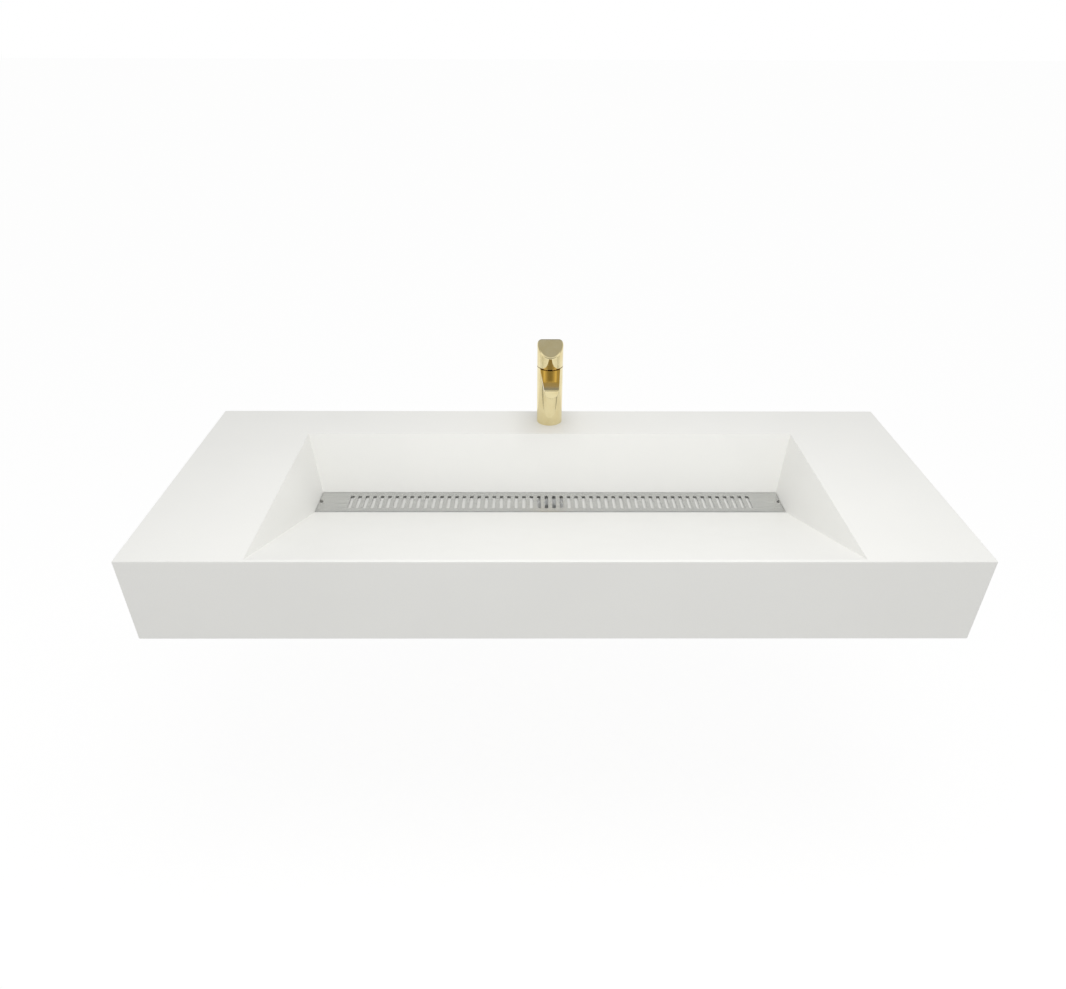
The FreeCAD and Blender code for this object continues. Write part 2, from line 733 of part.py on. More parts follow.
cut(tap_body, "XY", "nut_seat", nut_seat, tap_top, circle(zero, zero, size.nut_radius + size.cartridge_clearance))
cut(tap_body, "XY", "aerator_bore", spout_foot - size.aerator_recess, aerator_top + size.aerator_room,
    circle(zero, aerator_middle, aerator_bore))
cut(tap_body, "XZ", "water_way", aerator_middle, -size.neck_radius,
    circle(zero, passage_level, size.passage_radius))

washer(on_tap("base_seal"), size.cavity_radius + size.cartridge_clearance, seal_outer - size.cartridge_clearance,
       size.seal_height, size.seal_height)

aerator_housing = new_body("aerator_housing", y=aerator_middle - size.tap_inset, z=deck_top)
screen_radius = size.aerator_radius - size.aerator_wall
washer(aerator_housing, screen_radius, size.aerator_radius, aerator_top, size.aerator_height)
aerator_screen = new_body("aerator_screen", y=aerator_middle - size.tap_inset, z=deck_top)
ring_side = size.aerator_ring / 2
ring_rise = ring_side * square_root(as_term(3))
screen_holes = [(zero, zero), (size.aerator_ring, zero), (-size.aerator_ring, zero),
                (ring_side, ring_rise), (ring_side, -ring_rise), (-ring_side, ring_rise), (-ring_side, -ring_rise)]
span(aerator_screen, "XY", "disc", aerator_foot + size.aerator_wall, aerator_top,
     circle(zero, zero, screen_radius - size.thread_clearance),
     *[circle(x, y, size.aerator_hole) for x, y in screen_holes])

# Cartridge, its nut and the carrier that turns in it
carrier_bore = size.carrier_radius + size.running_clearance
neck_top = nut_seat + size.neck_height
carrier_foot = neck_top - size.carrier_height
pivot = tap_top - size.pivot_drop
cartridge_case = on_tap("cartridge_case")
turned(cartridge_case, "case",
       (zero, chamber_floor), (size.cartridge_radius, chamber_floor), (size.cartridge_radius, nut_seat),
       (size.neck_radius, nut_seat), (size.neck_radius, neck_top), (carrier_bore, neck_top),
       (carrier_bore, carrier_foot), (zero, carrier_foot))
washer(on_tap("cartridge_nut"), size.neck_radius + size.cartridge_clearance, size.nut_radius,
       nut_seat + size.nut_height, size.nut_height)

stem_half = size.stem_side / 2
stem_slot = stem_half + size.stem_clearance
swivel_carrier = on_tap("swivel_carrier")
span(swivel_carrier, "XY", "drum", carrier_foot, neck_top, circle(zero, zero, size.carrier_radius))
cut(swivel_carrier, "XY", "stem_slot", pivot - stem_half - size.stem_tail, neck_top,
    rectangle(-stem_slot, stem_slot, -stem_half - size.stem_tail, stem_half * 2))
cut(swivel_carrier, "YZ", "pin_hole", -size.carrier_radius, size.carrier_radius,
    circle(zero, pivot, size.pin_radius + size.running_clearance))

# Lever: stem on its cross pin, cap handle, grub screw and plug
lever_stem = on_tap("lever_stem")
stem_top = tap_top + size.stem_length
span(lever_stem, "XY", "bar", pivot - size.stem_tail, stem_top,
     rectangle(-stem_half, stem_half, -stem_half, stem_half))
cut(lever_stem, "YZ", "pin_hole", -size.stem_side, size.stem_side,
    circle(zero, pivot, size.pin_radius + size.thread_clearance))
pin_half = size.carrier_radius - size.pin_radius / 2
span(on_tap("pivot_pin"), "YZ", "pin", -pin_half, pin_half, circle(zero, pivot, size.pin_radius))

# The handle's side: a straight slope up from the front that runs tangent into the roll
handle_foot = tap_top + size.handle_gap
radius = size.tap_radius
roll = size.handle_roll
roll_level = size.handle_top - roll
to_front = (-radius - size.handle_crest, size.handle_front - roll_level)
front_square = to_front[0] * to_front[0] + to_front[1] * to_front[1]
tangent = square_root(front_square - roll * roll)
touch = (size.handle_crest + (roll * roll * to_front[0] + roll * tangent * to_front[1]) / front_square,
         roll_level + (roll * roll * to_front[1] - roll * tangent * to_front[0]) / front_square)
slope = (touch[1] - size.handle_front) / (touch[0] + radius)
slope_foot = -radius - (size.handle_front - handle_foot) / slope
roll_rear = size.handle_crest + roll

handle = on_tap("handle")
span(handle, "YZ", "side_profile", radius * -2, radius * 2,
     rolled(roll, (size.handle_crest, roll_level), (roll_rear, roll_level), (roll_rear, handle_foot),
            (slope_foot, handle_foot), touch))
cut(handle, "XY", "round_side", handle_foot, size.handle_top,
    rectangle(radius * -3, radius * 3, radius * -3, radius * 3), circle(zero, zero, radius))
round_edges(handle, "soft_rim", size.handle_round,
            lambda edge, middle: (near(math.hypot(middle.x, middle.y), radius)
                                  and middle.z > (size.handle_front - size.handle_gap).value
                                  and not isinstance(edge.Curve, Part.Line)))
cut(handle, "YZ", "rear_relief", radius * -2, radius * 2,
    polygon((zero, handle_foot), (radius * 2, handle_foot + size.handle_relief * 2),
            (radius * 2, handle_foot - size.handle_relief), (zero, handle_foot - size.handle_relief)))
cut(handle, "XY", "recess", handle_foot - size.handle_relief, handle_foot + size.handle_recess,
    circle(zero, zero, radius - size.handle_wall))
socket_half = stem_half + size.thread_clearance
cut(handle, "XY", "stem_socket", handle_foot, stem_top + size.thread_clearance,
    rectangle(-socket_half, socket_half, -socket_half, socket_half))
grub_level = tap_top + size.grub_rise
cut(handle, "XZ", "grub_hole", zero, radius * 2,
    circle(zero, grub_level, size.grub_radius + size.thread_clearance))
span(on_tap("grub_screw"), "XZ", "grub", stem_half, stem_half + size.grub_length,
     circle(zero, grub_level, size.grub_radius))
plug_face = radius - size.thread_clearance * 4
span(on_tap("screw_plug"), "XZ", "plug", plug_face - size.plug_length, plug_face,
     circle(zero, grub_level, size.grub_radius))

# Fixing under the deck: a stud, a rubber and a steel horseshoe and a nut
fixing_top = size.cavity_depth + size.fixing_depth
span(on_tap("fixing_stud"), "XY", "stud", -size.fixing_length, fixing_top,
     circle(zero, size.fixing_offset, size.fixing_radius))
rubber_foot = -sheet_in - size.horseshoe_rubber
steel_foot = rubber_foot - size.horseshoe_steel
for label, low, high in (("horseshoe_seal", rubber_foot, -sheet_in), ("horseshoe_plate", steel_foot, rubber_foot)):
    horseshoe = on_tap(label)
    span(horseshoe, "XY", "disc", low, high, circle(zero, zero, size.horseshoe_radius))
    cut(horseshoe, "XY", "opening", low, high,
        rectangle(-size.horseshoe_opening / 2, size.horseshoe_opening / 2,
                  size.horseshoe_radius * -2, size.horseshoe_depth))
    cut(horseshoe, "XY", "stud_hole", low, high, circle(zero, size.fixing_offset, fixing_bore))
span(on_tap("fixing_nut"), "XY", "nut", steel_foot - size.fixing_nut_height, steel_foot,
     hexagon(zero, size.fixing_offset, size.fixing_nut_across), circle(zero, size.fixing_offset, fixing_bore))

# Everything has to be sound before any file is written
doc.recompute()
for item in doc.Objects:
    if "Invalid" in item.State or "Error" in item.State:
        raise RuntimeError(f"{item.Label} failed: {item.State}")
    if item.isDerivedFrom("PartDesign::Pocket"):
        if item.Shape.Volume >= item.BaseFeature.Shape.Volume:
            raise RuntimeError(f"{item.Label} of {item.getParentGeoFeatureGroup().Label} cuts nothing")
for node in nodes:
    if node.Shape.isNull() or not node.Shape.isValid() or not node.Shape.Solids:
        raise RuntimeError(f"{node.Label} has no sound shape")

os.makedirs("parts", exist_ok=True)
for node in nodes:
    node.Shape.exportStep(f"parts/{node.Label}.step")
    print(node.Label, len(node.Shape.Solids), round(node.Shape.Volume, 1))
print(len(nodes), "parts")
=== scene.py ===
import math

import bpy
from mathutils import Matrix, Vector


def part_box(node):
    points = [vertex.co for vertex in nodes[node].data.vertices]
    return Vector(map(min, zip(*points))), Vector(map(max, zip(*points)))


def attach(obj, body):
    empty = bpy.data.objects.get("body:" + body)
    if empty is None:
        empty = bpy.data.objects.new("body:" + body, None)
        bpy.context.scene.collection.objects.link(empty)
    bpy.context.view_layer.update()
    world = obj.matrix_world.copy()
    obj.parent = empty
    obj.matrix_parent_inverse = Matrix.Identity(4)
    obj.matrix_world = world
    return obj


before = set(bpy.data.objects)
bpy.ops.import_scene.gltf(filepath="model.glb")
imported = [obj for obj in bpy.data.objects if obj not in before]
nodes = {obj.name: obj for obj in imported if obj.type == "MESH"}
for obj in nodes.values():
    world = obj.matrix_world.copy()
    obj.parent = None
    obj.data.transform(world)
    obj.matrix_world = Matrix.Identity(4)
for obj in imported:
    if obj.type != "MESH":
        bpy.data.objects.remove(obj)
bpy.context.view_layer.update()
scene = bpy.context.scene
print("frame loaded,", len(nodes), "pieces")


# small helpers for shader trees

def addNode(tree, kind, sockets=None, **settings):
    node = tree.nodes.new("ShaderNode" + kind)
    for name, value in settings.items():
        setattr(node, name, value)
    for name, value in (sockets or {}).items():
        if isinstance(value, bpy.types.NodeSocket):
            tree.links.new(value, node.inputs[name])
        else:
            node.inputs[name].default_value = value
    return node


def newFinish(name, **surface):
    finish = bpy.data.materials.new(name)
    finish.use_nodes = True
    tree = finish.node_tree
    shader = tree.nodes["Principled BSDF"]
    for socket, value in surface.items():
        shader.inputs[socket.replace("_", " ")].default_value = value
    place = addNode(tree, "TexCoord").outputs["Object"]
    return finish, tree, shader, place


def calc(tree, operation, first, second=0.0):
    return addNode(tree, "Math", {0: first, 1: second}, operation=operation).outputs[0]


def grain(tree, place, size, detail=2.0, stretch=None, rough=0.5):
    # noise with features of about size metres, drawn out along an axis by stretch
    if stretch:
        place = addNode(tree, "Mapping", {"Vector": place, "Scale": stretch}).outputs["Vector"]
    return addNode(tree, "TexNoise", {"Vector": place, "Scale": 1 / size, "Detail": detail,
                                      "Roughness": rough}).outputs["Fac"]


def spread(tree, value, low, high, fromLow=0.3, fromHigh=0.7):
    return addNode(tree, "MapRange", {"Value": value, "From Min": fromLow, "From Max": fromHigh,
                                      "To Min": low, "To Max": high}).outputs["Result"]


colourSockets = {"first": 6, "second": 7, "result": 2}      # of a mix node that mixes colours


def tint(tree, amount, first, second):
    # each of the two is a colour or a socket that gives one
    mix = addNode(tree, "Mix", {"Factor": amount}, data_type="RGBA")
    for side, colour in (("first", first), ("second", second)):
        socket = mix.inputs[colourSockets[side]]
        if isinstance(colour, bpy.types.NodeSocket):
            tree.links.new(colour, socket)
        else:
            socket.default_value = (*colour, 1)
    return mix.outputs[colourSockets["result"]]


def relief(tree, shader, height, depth, strength):
    bump = addNode(tree, "Bump", {"Height": height, "Distance": depth, "Strength": strength})
    tree.links.new(bump.outputs["Normal"], shader.inputs["Normal"])


def feed(tree, shader, **sockets):
    for socket, value in sockets.items():
        tree.links.new(value, shader.inputs[socket.replace("_", " ")])


def shaded(colour, share):
    return tuple(min(1, part * share) for part in colour)


def dress(finish, *names):
    for name in names:
        piece = nodes[name]
        piece.data.materials.clear()
        piece.data.materials.append(finish)


# solid surface sheet, sanded matt

stone = {
    "colour": (0.868, 0.866, 0.836),
    "ior": 1.5,
    "cloudSize": 0.14,
    "cloudShade": 0.982,
    "speckSize": 0.0012,
    "speckShade": 0.972,
    "speckRange": (0.55, 0.75),
    "sheenSize": 0.03,
    "roughness": (0.34, 0.46),
    "sandSize": 0.0006,
    "sandDepth": 0.00003,
    "sandStrength": 0.25,
}


def stoneFinish():
    finish, tree, shader, place = newFinish("solidSurface", IOR=stone["ior"])
    cloud = grain(tree, place, stone["cloudSize"], detail=3)
    speck = grain(tree, place, stone["speckSize"], detail=1)
    clouded = tint(tree, spread(tree, cloud, 0, 1), stone["colour"],
                   shaded(stone["colour"], stone["cloudShade"]))
    flecked = tint(tree, spread(tree, speck, 0, 1, *stone["speckRange"]), clouded,
                   shaded(stone["colour"], stone["speckShade"]))
    sheen = grain(tree, place, stone["sheenSize"], detail=3)
    feed(tree, shader, Base_Color=flecked, Roughness=spread(tree, sheen, *stone["roughness"]))
    sand = grain(tree, place, stone["sandSize"], detail=3)
    relief(tree, shader, sand, stone["sandDepth"], stone["sandStrength"])
    return finish


# polished gold plate on the tap, with a painted reflection colour where gold shows in gold

gold = {
    "colour": (0.86, 0.76, 0.47),
    "deepColour": (0.80, 0.68, 0.38),
    # painted reflection: gold seen in the gold's reflections is given this deeper colour instead of the
    # plate's own
    "paintedReflectionColour": (0.73, 0.51, 0.15),      # gold that shows in gold
    "roughness": (0.06, 0.13),
    "smudgeSize": 0.018,
    "waveSize": 0.012,
    "waveDepth": 0.00004,
    "waveStrength": 0.2,
}


def goldFinish():
    finish, tree, shader, place = newFinish("polishedGold", Metallic=1.0)
    smudge = grain(tree, place, gold["smudgeSize"], detail=4, rough=0.6)
    plate = tint(tree, spread(tree, smudge, 0, 1), gold["colour"], gold["deepColour"])
    # rays that meet the gold in gloss get the painted reflection colour, a painted reflection tone
    inGloss = addNode(tree, "LightPath").outputs["Is Glossy Ray"]
    feed(tree, shader, Base_Color=tint(tree, inGloss, plate, gold["paintedReflectionColour"]),
         Roughness=spread(tree, smudge, *gold["roughness"]))
    wave = grain(tree, place, gold["waveSize"], detail=1)
    relief(tree, shader, wave, gold["waveDepth"], gold["waveStrength"])
    return finish


# drawn stainless steel of the drain cover, brushed along its length

coverSteel = {
    "colour": (0.675, 0.68, 0.665),
    "darkColour": (0.57, 0.575, 0.565),
    "roughness": (0.22, 0.36),
    "brushSize": 0.00045,
    "brushStretch": (0.012, 1, 1),
    "brushDepth": 0.00002,
    "brushStrength": 0.3,
}


def coverFinish():
    finish, tree, shader, place = newFinish("brushedSteel", Metallic=1.0)
    brush = grain(tree, place, coverSteel["brushSize"], detail=4, stretch=coverSteel["brushStretch"])
    drawn = tint(tree, spread(tree, brush, 0, 1), coverSteel["colour"], coverSteel["darkColour"])
    feed(tree, shader, Base_Color=drawn, Roughness=spread(tree, brush, *coverSteel["roughness"]))
    relief(tree, shader, brush, coverSteel["brushDepth"], coverSteel["brushStrength"])
    return finish


# chrome of the waste, polished on the tailpiece, and dulled by water scale on the fitting in the trough

chrome = {
    "colour": (0.72, 0.73, 0.74),
    "dullColour": (0.60, 0.61, 0.62),
    "dullSize": 0.014,
    "polishRoughness": (0.05, 0.16),
    "scaleColour": (0.80, 0.80, 0.77),
    "scaleSize": 0.005,
    "scaledMetal": (0.45, 0.15),
    "scaledRoughness": (0.34, 0.50),
    "waveSize": 0.008,
    "waveDepth": 0.00003,
    "waveStrength": 0.2,
}


def chromeWaves(tree, shader, place):
    wave = grain(tree, place, chrome["waveSize"], detail=1)
    relief(tree, shader, wave, chrome["waveDepth"], chrome["waveStrength"])


def chromeFinish():
    finish, tree, shader, place = newFinish("polishedChrome", Metallic=1.0)
    dull = grain(tree, place, chrome["dullSize"], detail=4, rough=0.6)
    plate = tint(tree, spread(tree, dull, 0, 1), chrome["colour"], chrome["dullColour"])
    feed(tree, shader, Base_Color=plate, Roughness=spread(tree, dull, *chrome["polishRoughness"]))
    chromeWaves(tree, shader, place)
    return finish


def scaledChromeFinish():
    finish, tree, shader, place = newFinish("scaledChrome")
    scale = grain(tree, place, chrome["scaleSize"], detail=4, rough=0.6)
    plate = tint(tree, spread(tree, scale, 0, 1), chrome["colour"], chrome["scaleColour"])
    feed(tree, shader, Base_Color=plate, Metallic=spread(tree, scale, *chrome["scaledMetal"]),
         Roughness=spread(tree, scale, *chrome["scaledRoughness"]))
    chromeWaves(tree, shader, place)
    return finish


# bare turned brass

brass = {
    "colour": (0.70, 0.52, 0.25),
    "brownColour": (0.46, 0.32, 0.15),
    "tarnishSize": 0.006,
    "tarnishRange": (0.45, 0.75),
    "roughness": (0.22, 0.42),
    "turningSize": 0.0005,
    "turningStretch": (0.1, 0.1, 1),
    "turningDepth": 0.00003,
    "turningStrength": 0.4,
}


def brassFinish():
    finish, tree, shader, place = newFinish("turnedBrass", Metallic=1.0)
    tarnish = grain(tree, place, brass["tarnishSize"], detail=4, rough=0.65)
    browned = spread(tree, tarnish, 0, 1, *brass["tarnishRange"])
    feed(tree, shader, Base_Color=tint(tree, browned, brass["colour"], brass["brownColour"]),
         Roughness=spread(tree, tarnish, *brass["roughness"]))
    turning = grain(tree, place, brass["turningSize"], detail=2, stretch=brass["turningStretch"])
    relief(tree, shader, turning, brass["turningDepth"], brass["turningStrength"])
    return finish


# zinc plated steel of studs, screws and plates

zinc = {
    "colour": (0.58, 0.60, 0.62),
    "paleColour": (0.70, 0.71, 0.69),
    "spanglesPerMetre": 420,
    "cloudSize": 0.009,
    "roughness": (0.26, 0.42),
    "cloudDepth": 0.00004,
    "cloudStrength": 0.3,
}


def zincFinish():
    finish, tree, shader, place = newFinish("zincPlate", Metallic=1.0)
    spangle = addNode(tree, "TexVoronoi", {"Vector": place, "Scale": zinc["spanglesPerMetre"]})
    level = addNode(tree, "RGBToBW", {"Color": spangle.outputs["Color"]}).outputs["Val"]
    cloud = grain(tree, place, zinc["cloudSize"], detail=3)
    feed(tree, shader, Base_Color=tint(tree, level, zinc["colour"], zinc["paleColour"]),
         Roughness=spread(tree, cloud, *zinc["roughness"]))
    relief(tree, shader, cloud, zinc["cloudDepth"], zinc["cloudStrength"])
    return finish


# black powder coat of the wall brackets

powder = {
    "colour": (0.030, 0.031, 0.033),
    "paleColour": (0.052, 0.053, 0.055),
    "ior": 1.48,
    "sheenSize": 0.02,
    "roughness": (0.42, 0.58),
    "peelSize": 0.0011,
    "peelDepth": 0.00008,
    "peelStrength": 0.5,
}


def powderFinish():
    finish, tree, shader, place = newFinish("powderCoat", IOR=powder["ior"])
    peel = grain(tree, place, powder["peelSize"], detail=2)
    sheen = grain(tree, place, powder["sheenSize"], detail=3)
    coat = tint(tree, spread(tree, peel, 0, 1), powder["colour"], powder["paleColour"])
    feed(tree, shader, Base_Color=coat, Roughness=spread(tree, sheen, *powder["roughness"]))
    relief(tree, shader, peel, powder["peelDepth"], powder["peelStrength"])
    return finish


# rubber of gaskets and seals

rubber = {
    "colour": (0.016, 0.016, 0.017),
    "bloomColour": (0.040, 0.040, 0.041),
    "ior": 1.5,
    "bloomSize": 0.007,
    "bloomRange": (0.45, 0.8),
    "roughness": (0.52, 0.72),
    "poreSize": 0.0005,
    "poreDepth": 0.00004,
    "poreStrength": 0.4,
}


def rubberFinish():
    finish, tree, shader, place = newFinish("blackRubber", IOR=rubber["ior"])
    bloom = grain(tree, place, rubber["bloomSize"], detail=4, rough=0.6)
    bloomed = spread(tree, bloom, 0, 1, *rubber["bloomRange"])
    feed(tree, shader, Base_Color=tint(tree, bloomed, rubber["colour"], rubber["bloomColour"]),
         Roughness=spread(tree, bloom, *rubber["roughness"]))
    pores = grain(tree, place, rubber["poreSize"], detail=2)
    relief(tree, shader, pores, rubber["poreDepth"], rubber["poreStrength"])
    return finish


# pale silicone feet of the drain cover

silicone = {
    "colour": (0.70, 0.70, 0.67),
    "cloudColour": (0.60, 0.60, 0.57),
    "ior": 1.42,
    "cloudSize": 0.004,
    "roughness": (0.38, 0.55),
    "poreSize": 0.0007,
    "poreDepth": 0.00003,
    "poreStrength": 0.3,
}


def siliconeFinish():
    finish, tree, shader, place = newFinish("paleSilicone", IOR=silicone["ior"])
    cloud = grain(tree, place, silicone["cloudSize"], detail=3)
    pale = tint(tree, spread(tree, cloud, 0, 1), silicone["colour"], silicone["cloudColour"])
    feed(tree, shader, Base_Color=pale, Roughness=spread(tree, cloud, *silicone["roughness"]))
    pores = grain(tree, place, silicone["poreSize"], detail=2)
    relief(tree, shader, pores, silicone["poreDepth"], silicone["poreStrength"])
    return finish


# natural nylon of the cartridge, the aerator and the slip washer

nylon = {
    "colour": (0.78, 0.77, 0.71),
    "warmColour": (0.70, 0.68, 0.60),
    "ior": 1.53,
    "flowSize": 0.010,
    "flowStretch": (1, 1, 0.3),
    "roughness": (0.34, 0.50),
    "mouldSize": 0.0009,
    "mouldDepth": 0.00003,
    "mouldStrength": 0.3,
}


def nylonFinish():
    finish, tree, shader, place = newFinish("naturalNylon", IOR=nylon["ior"])
    flow = grain(tree, place, nylon["flowSize"], detail=3, stretch=nylon["flowStretch"])
    natural = tint(tree, spread(tree, flow, 0, 1), nylon["colour"], nylon["warmColour"])
    feed(tree, shader, Base_Color=natural, Roughness=spread(tree, flow, *nylon["roughness"]))
    mould = grain(tree, place, nylon["mouldSize"], detail=2)
    relief(tree, shader, mould, nylon["mouldDepth"], nylon["mouldStrength"])
    return finish


# birch plywood, with plies on the edges and grain on the faces

plywood = {
    "faceColour": (0.60, 0.44, 0.27),
    "lateColour": (0.47, 0.32, 0.18),
    "endColour": (0.33, 0.20, 0.10),
    "ior": 1.45,
    "ply": 0.002,
    "streakSize": 0.0035,
    "streakStretch": 0.04,
    "streakRange": (0.35, 0.7),
    "roughness": (0.50, 0.68),
    "streakDepth": 0.00015,
    "streakStrength": 0.4,
    "faceSquare": 0.7,          # a face counts as the sheet's own from here on
}


def plywoodFinish(name, alongAxis, thinAxis):
    finish, tree, shader, place = newFinish(name, IOR=plywood["ior"])
    stretch = [1.0, 1.0, 1.0]
    stretch["XYZ".index(alongAxis)] = plywood["streakStretch"]
    streak = grain(tree, place, plywood["streakSize"], detail=5, stretch=stretch, rough=0.6)
    late = spread(tree, streak, 0, 1, *plywood["streakRange"])
    face = tint(tree, late, plywood["faceColour"], plywood["lateColour"])
    depth = addNode(tree, "SeparateXYZ", {"Vector": place}).outputs[thinAxis]
    plySide = calc(tree, "PINGPONG", calc(tree, "DIVIDE", depth, plywood["ply"]), 1.0)
    edge = tint(tree, calc(tree, "GREATER_THAN", plySide, 0.5), face, plywood["endColour"])
    normal = addNode(tree, "TexCoord").outputs["Normal"]
    facing = addNode(tree, "SeparateXYZ", {"Vector": normal}).outputs[thinAxis]
    onFace = calc(tree, "GREATER_THAN", calc(tree, "ABSOLUTE", facing), plywood["faceSquare"])
    feed(tree, shader, Base_Color=tint(tree, onFace, edge, face),
         Roughness=spread(tree, streak, *plywood["roughness"]))
    relief(tree, shader, streak, plywood["streakDepth"], plywood["streakStrength"])
    return finish


solidSurface = stoneFinish()
scaledChrome = scaledChromeFinish()
zincSteel = zincFinish()
bracketCoat = powderFinish()
dress(solidSurface, "left_deck", "right_deck", "rear_deck", "front_apron", "left_apron", "right_apron",
      "ramp", "basin_rear_wall", "basin_left_wall", "basin_right_wall", "trough_floor", "trough_front_wall",
      "trough_rear_wall", "trough_left_end", "trough_right_end")
dress(goldFinish(), "tap_body", "handle", "screw_plug")
dress(coverFinish(), "drain_cover", "cover_studs")
dress(scaledChrome, "drain_body")
dress(chromeFinish(), "tailpiece")
dress(brassFinish(), "bearer_inserts", "drain_backnut", "cartridge_nut", "lever_stem", "fixing_nut")
dress(zincSteel, "bracket_screws", "pivot_pin", "grub_screw", "fixing_stud", "horseshoe_plate")
dress(bracketCoat, "left_bracket", "right_bracket")
dress(rubberFinish(), "flange_gasket", "lower_gasket", "base_seal", "horseshoe_seal")
dress(siliconeFinish(), "cover_feet")
dress(nylonFinish(), "friction_washer", "aerator_housing", "aerator_screen", "cartridge_case",
      "swivel_carrier")
dress(plywoodFinish("bearerPlywood", "Y", "Z"), "left_bearer", "right_bearer")
dress(plywoodFinish("stretcherPlywood", "X", "Y"), "left_stretcher", "right_stretcher")
print("finishes done")


# pieces that only the scene has, all on the body that stays put

def addPiece(name, points, faces, finish, slot):
    mesh = bpy.data.meshes.new(name)
    mesh.from_pydata(points, [], faces)
    mesh.shade_smooth()
    mesh.materials.append(finish)
    piece = bpy.data.objects.new(name, mesh)
    scene.collection.objects.link(piece)
    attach(piece, "top")
    return piece


def strip(rings):
    # faces between closed rings of points that follow each other, with a cap at each end
    points = [point for ring in rings for point in ring]
    count = len(rings[0])
    faces = []
    for i in range(len(rings) - 1):
        for j in range(count):
            k = (j + 1) % count
            faces.append((i * count + j, i * count + k, (i + 1) * count + k, (i + 1) * count + j))
    faces.append(tuple(reversed(range(count))))
    faces.append(tuple(range(len(points) - count, len(points))))
    return points, faces


# raised beds of the trough's floor, seen through the slots of the cover

troughBed = {
    "highAtWaste": 0.0022,
    "highAtEnd": 0.0027,        # it falls towards the waste
    "footRadius": 0.0034,       # it lies between the two rows of feet
    "footGap": 0.0005,
    "wasteGap": 0.0022,         # to the rim of the waste
    "endGap": 0.004,
    "corner": 0.006,
    "edge": 0.0012,             # rounding of its upper edge
    "edgeLeans": (0, 30, 60, 90),
    "sunk": 0.0001,             # into the floor
    "steps": 12,
}


def bedOutline(middle, half, start, end, inset, side):
    # seen from above: an arc round the waste, two straight sides and a round-cornered end
    half, start, end = half - inset, start + inset, end - inset
    corner = troughBed["corner"] - inset
    steps = troughBed["steps"]
    reach = math.asin(half / start)
    points = []
    for i in range(steps + 1):
        angle = reach * (1 - 2 * i / steps)
        points.append((start * math.cos(angle), start * math.sin(angle)))
    quarter = steps // 2
    for turn in (-1, 1):
        for i in range(quarter + 1):
            angle = math.pi / 2 * (i / quarter + (turn - 1) / 2)
            points.append((end - corner + corner * math.cos(angle),
                           turn * (half - corner) + corner * math.sin(angle)))
    if side < 0:
        points = [(-x, y) for x, y in reversed(points)]
    return [(middle.x + x, middle.y + y) for x, y in points]


def makeBed(name, side):
    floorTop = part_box("trough_floor")[1]
    wasteLow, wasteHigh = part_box("drain_body")
    feetLow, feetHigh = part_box("cover_feet")
    middle = (wasteLow + wasteHigh) / 2
    half = (feetHigh.y - feetLow.y) / 2 - 2 * troughBed["footRadius"] - troughBed["footGap"]
    start = (wasteHigh.x - wasteLow.x) / 2 + troughBed["wasteGap"]
    end = floorTop.x - middle.x - troughBed["endGap"]
    edge = troughBed["edge"]
    fall = troughBed["highAtEnd"] - troughBed["highAtWaste"]
    foot = floorTop.z - troughBed["sunk"]
    rings = [[(x, y, foot) for x, y in bedOutline(middle, half, start, end, 0, side)]]
    for lean in troughBed["edgeLeans"]:
        inset = edge * (1 - math.cos(math.radians(lean)))
        drop = edge * (1 - math.sin(math.radians(lean)))
        ring = []
        for x, y in bedOutline(middle, half, start, end, inset, side):
            share = (abs(x - middle.x) - start) / (end - start)
            ring.append((x, y, floorTop.z + troughBed["highAtWaste"] + fall * share - drop))
        rings.append(ring)
    bed = addPiece(name, *strip(rings), solidSurface, "solid_surface")
    bed.data.shade_flat()


# screw threads, each a ridge that winds down its carrier from under a nut

threads = [
    {"name": "stud_thread", "carrier": "fixing_stud", "under": "fixing_nut", "radius": 0.004,
     "pitch": 0.00125, "height": 0.0004, "steps": 20, "finish": zincSteel, "slot": "zinc_steel"},
    {"name": "barrel_thread", "carrier": "drain_body", "under": "drain_backnut", "radius": 0.021,
     "pitch": 0.0023, "height": 0.0008, "steps": 36, "finish": scaledChrome, "slot": "waste_chrome"},
]
ridge = {"root": -0.2, "crest": 0.75, "rootHalf": 0.46, "crestHalf": 0.12}      # of height, then of pitch


def makeThread(name, carrier, under, radius, pitch, height, steps, finish, slot):
    low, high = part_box(carrier)
    middle = (low + high) / 2
    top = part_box(under)[0].z - pitch
    turns = (top - low.z - pitch) / pitch
    total = int(turns * steps)
    root, crest = ridge["root"], ridge["crest"]
    profile = ((root, ridge["rootHalf"]), (crest, ridge["crestHalf"]),
               (crest, -ridge["crestHalf"]), (root, -ridge["rootHalf"]))
    rings = []
    for i in range(total + 1):
        angle = 2 * math.pi * i / steps
        level = top - turns * pitch * i / total
        runOut = min(1, i / steps, (total - i) / steps)         # it fades over its first and last turn
        ring = []
        for out, rise in profile:
            reach = radius + height * (out * runOut + root * (1 - runOut))
            ring.append((middle.x + reach * math.cos(angle), middle.y + reach * math.sin(angle),
                         level + rise * pitch))
        rings.append(ring)
    addPiece(name, *strip(rings), finish, slot)


# weld beads of the brackets, and glue squeezed out under the basin

beads = {
    "weldLeg": 0.0045,
    "weldRipple": 0.0028,       # length of one ripple
    "weldSwell": 0.08,
    "glueLeg": 0.0026,
    "glueRipple": 0.041,
    "glueSwell": 0.12,
    "bulge": 0.82,              # 0.51 is a flat bead, 0.87 a full quarter round
    "shoulder": 0.58,
    "slowRipple": 2.7,          # a slower swell runs along with the ripples
    "slowShare": 0.5,
    "slowStart": 1,
    "stepsPerRipple": 8,
    "fewestSteps": 24,
    "endShare": 0.55,           # a bead is thinner at its ends
    "endTaper": 12,
    "sunk": 0.0002,
    "rearLean": 49 / 90,        # of the basin's rear wall
}


